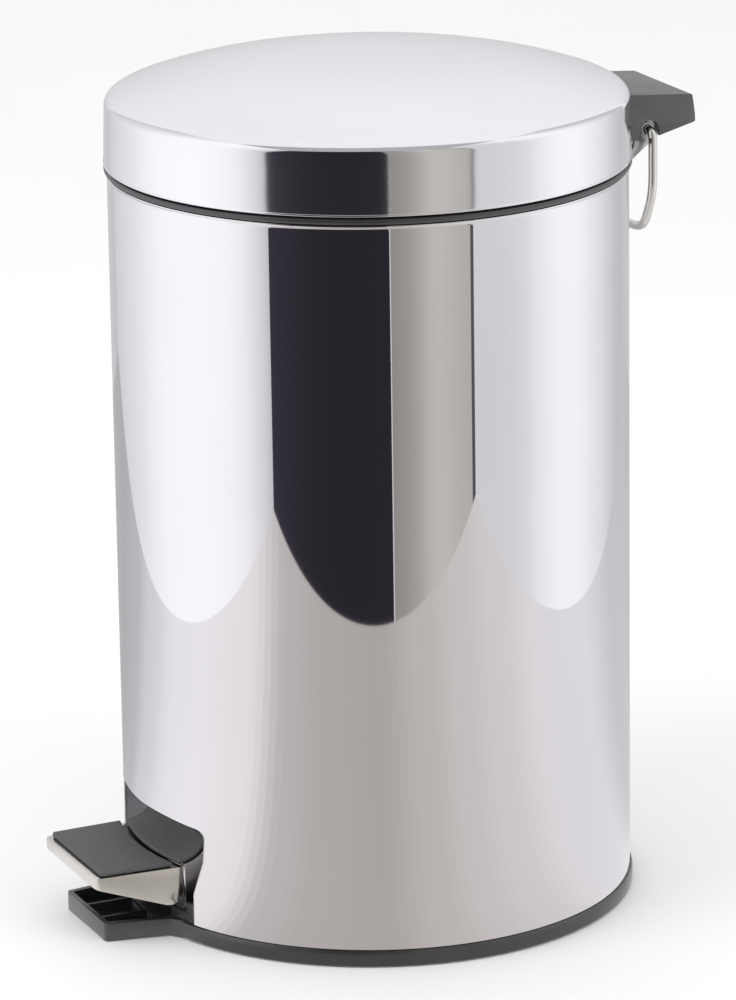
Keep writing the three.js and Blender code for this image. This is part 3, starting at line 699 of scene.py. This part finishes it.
def glow(name):
    """A material that only gives off light, with its node tree and its emission shader."""
    material = bpy.data.materials.new(name)
    material.use_nodes = True
    tree = material.node_tree
    tree.nodes.clear()
    output = tree.nodes.new("ShaderNodeOutputMaterial")
    emission = tree.nodes.new("ShaderNodeEmission")
    tree.links.new(emission.outputs["Emission"], output.inputs["Surface"])
    return material, tree, emission


def emitter(name, color, stops, along):
    """A card's own light; stops give its strength from its start (0) to its end (1), or up it."""
    material, tree, emission = glow(name)
    emission.inputs["Color"].default_value = (*color, 1)
    uv = tree.nodes.new("ShaderNodeTexCoord").outputs["UV"]
    split = tree.nodes.new("ShaderNodeSeparateXYZ")
    tree.links.new(uv, split.inputs["Vector"])
    curve = tree.nodes.new("ShaderNodeFloatCurve")
    points = curve.mapping.curves[0].points
    points[0].location = (stops[0][0], stops[0][1] / BRIGHTEST)
    points[1].location = (stops[-1][0], stops[-1][1] / BRIGHTEST)
    for place, strength in stops[1:-1]:
        points.new(place, strength / BRIGHTEST)
    curve.mapping.update()
    tree.links.new(split.outputs[along], curve.inputs["Value"])
    scale = tree.nodes.new("ShaderNodeMath")
    scale.operation = "MULTIPLY"
    scale.inputs[1].default_value = BRIGHTEST
    tree.links.new(curve.outputs["Value"], scale.inputs[0])
    tree.links.new(scale.outputs[0], emission.inputs["Strength"])
    return material


def reflected_only(name, mesh, material):
    """A stage piece that shows only in reflections."""
    obj = placed(name, mesh)
    mesh.materials.append(material)
    obj.visible_camera = False
    obj.visible_diffuse = False
    obj.visible_shadow = False


def card(name, corners, color, stops, along="X"):
    """A flat card with its own light."""
    material = emitter(name, color, stops, along)
    mesh = bpy.data.meshes.new(name)
    mesh.from_pydata([tuple(c) for c in corners], [], [(0, 1, 2, 3)])
    layer = mesh.uv_layers.new(name="across")
    for loop, uv in zip(layer.data, ((0, 0), (1, 0), (1, 1), (0, 1))):
        loop.uv = uv
    reflected_only(name, mesh, material)


def upright(name, start, end, height, color, stops, along="X"):
    """An upright card between two (depth, side) places on the floor."""
    foot = 0.001
    corners = [studio_place(*start, foot), studio_place(*end, foot),
               studio_place(*end, height), studio_place(*start, height)]
    card(name, corners, color, stops, along)


FRONT = 0.655                  # the dark and grey cards stand this far towards the camera
SIDE = 0.627                   # half the width of the back card
BACK = 0.9                     # how far behind the bin the back card stands
LEFT_EDGE = -0.574             # the dark card's left end
SEAM = 0.095                   # where the dark card meets the grey one
GREY_END = 0.583               # the grey card's right end
RIGHT_EDGE = 0.613             # where the right white card starts
SEAM_WIDTH = 0.004
RIGHT_END = (-0.7, 0.6)        # depth and side where the right white card stops
CARD_HEIGHT = 1.4
BACK_HEIGHT = 1.6
CEILING = 2.0
CEILING_FRONT = 1.6
CEILING_BACK = -0.2
CEILING_SIDE = 0.9
WHITE = (0.985, 0.98, 1)
DARK_TONE = (0.84, 0.74, 1)
WARM_TONE = (1, 0.965, 0.9)
CEILING_TONE = (0.97, 0.96, 1)
DARK_STOPS = [(0, 0.052), (0.2, 0.042), (0.5, 0.03), (1, 0.03)]
BRIGHT_SEAM_STOPS = [(0, 0.8), (1, 0.8)]
GREY_STOPS = [(0, 0.31), (0.2, 0.4), (0.45, 0.58), (0.75, 0.54), (1, 0.5)]
DARK_SEAM_STOPS = [(0, 0.1), (1, 0.1)]
LEFT_STOPS = [(0, 0.62), (0.08, 0.87), (0.2, 1.1), (0.4, 1.15), (0.63, 0.9), (1, 0.7)]
RIGHT_STOPS = [(0, 0.74), (0.25, 0.8), (0.35, 0.98), (0.48, 1.1), (0.62, 0.95), (0.85, 0.66), (1, 0.6)]
BACK_STOPS = [(0, 0.62), (0.2, 0.68), (0.31, 0.79), (0.47, 0.93), (0.6, 0.98), (1, 1)]
CEILING_STOPS = [(0, 0.5), (1, 0.5)]
dark_left = (FRONT, LEFT_EDGE)
seam_left = (FRONT, SEAM - SEAM_WIDTH)
seam_right = (FRONT, SEAM)
grey_right = (FRONT, GREY_END)
white_left = (FRONT, RIGHT_EDGE)
back_left = (-BACK, -SIDE)
back_right = (-BACK, SIDE)
upright("dark_card", dark_left, seam_left, CARD_HEIGHT, DARK_TONE, DARK_STOPS)
upright("bright_seam", seam_left, seam_right, CARD_HEIGHT, WHITE, BRIGHT_SEAM_STOPS)
upright("grey_card", seam_right, grey_right, CARD_HEIGHT, WARM_TONE, GREY_STOPS)
upright("dark_seam", grey_right, white_left, CARD_HEIGHT, WHITE, DARK_SEAM_STOPS)
upright("left_card", dark_left, back_left, CARD_HEIGHT, WHITE, LEFT_STOPS)
upright("right_card", white_left, RIGHT_END, CARD_HEIGHT, WHITE, RIGHT_STOPS)
upright("back_card", back_left, back_right, BACK_HEIGHT, WHITE, BACK_STOPS, "Y")
ceiling_places = [(CEILING_BACK, -CEILING_SIDE), (CEILING_BACK, CEILING_SIDE),
                  (CEILING_FRONT, CEILING_SIDE), (CEILING_FRONT, -CEILING_SIDE)]
ceiling = [studio_place(depth, side, CEILING) for depth, side in ceiling_places]
card("ceiling_card", ceiling, CEILING_TONE, CEILING_STOPS)

# Strength of the painted floor reflection at angles in degrees from the camera's side, towards the camera's
# right; the painted reflection is dimmest towards the camera and behind the bin.
PAINTED_REFLECTION_TONES = [(-180, 0.5), (-142, 0.5), (-124, 0.57), (-110, 0.75), (-90, 0.93), (-77, 0.96),
               (-53, 0.9), (-36, 0.56), (-20, 0.5), (0, 0.475), (18, 0.58), (33, 0.66), (50, 0.74),
               (70, 0.85), (95, 0.86), (124, 0.66), (180, 0.5)]


def painted_reflection_tone(angle):
    """The painted floor reflection's tone so many degrees round from the camera, warm there and cooler
    elsewhere.
    """
    for (start, first), (end, last) in zip(PAINTED_REFLECTION_TONES, PAINTED_REFLECTION_TONES[1:]):
        if start <= angle <= end:
            share = (angle - start) / (end - start)
            share = share * share * (3 - 2 * share)
            tone = first + (last - first) * share
    cool = Vector((1, 0.98, 1))
    warm = Vector((1, 0.947, 0.884))
    facing = max(0, math.cos(math.radians(angle))) ** 2
    return cool.lerp(warm, facing) * tone


def painted_floor_reflection():
    """A painted reflection of the floor: a glowing ring from under the bin outwards that only reflections
    show.
    """
    steps = 120
    reach = (0.05, 3.0)
    level = 0.0006
    corners = []
    colors = []
    for k in range(steps):
        angle = 360 * k / steps - 180
        turn = math.radians(angle)
        for radius in reach:
            corners.append(tuple(studio_place(radius * math.cos(turn), radius * math.sin(turn), level)))
            colors.append(painted_reflection_tone(angle))
    count = len(corners)
    faces = [(k, k + 1, (k + 3) % count, (k + 2) % count) for k in range(0, count, 2)]
    mesh = bpy.data.meshes.new("painted_floor_reflection")
    mesh.from_pydata(corners, [], faces)
    layer = mesh.color_attributes.new("tone", "FLOAT_COLOR", "CORNER")
    for loop in mesh.loops:
        layer.data[loop.index].color = (*colors[loop.vertex_index], 1)
    material, tree, emission = glow("painted_floor_reflection")
    tone = tree.nodes.new("ShaderNodeVertexColor")
    tone.layer_name = "tone"
    tree.links.new(tone.outputs["Color"], emission.inputs["Color"])
    reflected_only("painted_floor_reflection", mesh, material)


def floor():
    """Plain pale floor."""
    size = 20
    mesh = bpy.data.meshes.new("floor")
    corners = [(-size, -size, 0), (size, -size, 0), (size, size, 0), (-size, size, 0)]
    mesh.from_pydata(corners, [], [(0, 1, 2, 3)])
    obj = placed("floor", mesh)
    material, tree, bsdf, place = shader("floor", (0.9, 0.9, 0.9), 0, 0.9)
    tree.links.new(tinted(tree, noise(tree, place, 3), (0.89, 0.89, 0.89), (0.91, 0.91, 0.91)),
                   bsdf.inputs["Base Color"])
    mesh.materials.append(material)
    obj.visible_glossy = False


def soft_light(name, location, size, power):
    """A round area light, aimed at the middle of the bin, that leaves no highlight."""
    middle = Vector((0, 0, 0.2))
    light = bpy.data.lights.new(name, "AREA")
    light.shape = "DISK"
    light.size = size
    light.energy = power
    obj = placed(name, light)
    obj.location = location
    aim = middle - obj.location
    obj.rotation_euler = aim.to_track_quat("-Z", "Y").to_euler()
    obj.visible_glossy = False


def camera():
    """A long lens on the bin's right, a little to its front and above it."""
    distance = 2.6125
    height = 0.96625
    yaw = math.radians(-0.05)
    pitch = math.radians(16.45)
    roll = math.radians(-0.85)
    forward = Vector((math.sin(yaw) * math.cos(pitch), math.cos(yaw) * math.cos(pitch), -math.sin(pitch)))
    right = Vector((math.cos(yaw), -math.sin(yaw), 0))
    up = right.cross(forward)
    rolled_right = right * math.cos(roll) + up * math.sin(roll)
    rolled_up = up * math.cos(roll) - right * math.sin(roll)
    axes = Matrix((rolled_right, rolled_up, -forward)).transposed().to_4x4()
    data = bpy.data.cameras.new("camera")
    data.sensor_width = 36
    data.lens = 201.3
    data.clip_start = 0.1
    data.clip_end = 100
    obj = placed("camera", data)
    turn = Matrix.Rotation(AZIMUTH, 4, "Z")
    obj.matrix_world = turn @ Matrix.Translation((0, -distance, height)) @ axes
    bpy.context.scene.camera = obj


def world():
    """Even white light all round."""
    light = bpy.data.worlds.new("studio")
    light.use_nodes = True
    background = light.node_tree.nodes["Background"]
    background.inputs["Color"].default_value = (1, 1, 1, 1)
    background.inputs["Strength"].default_value = 1.0
    bpy.context.scene.world = light


# The floor's reflection is painted: a glowing ring that only reflections show stands in for the floor, which
# reflections skip.
painted_floor_reflection()
floor()
soft_light("key_light", studio_place(0.9, -1.4, 2.4), size=1.4, power=16)
soft_light("fill_light", studio_place(1.2, 1.6, 1.8), size=1.6, power=8)
camera()
world()
bpy.context.scene.view_settings.view_transform = "Standard"
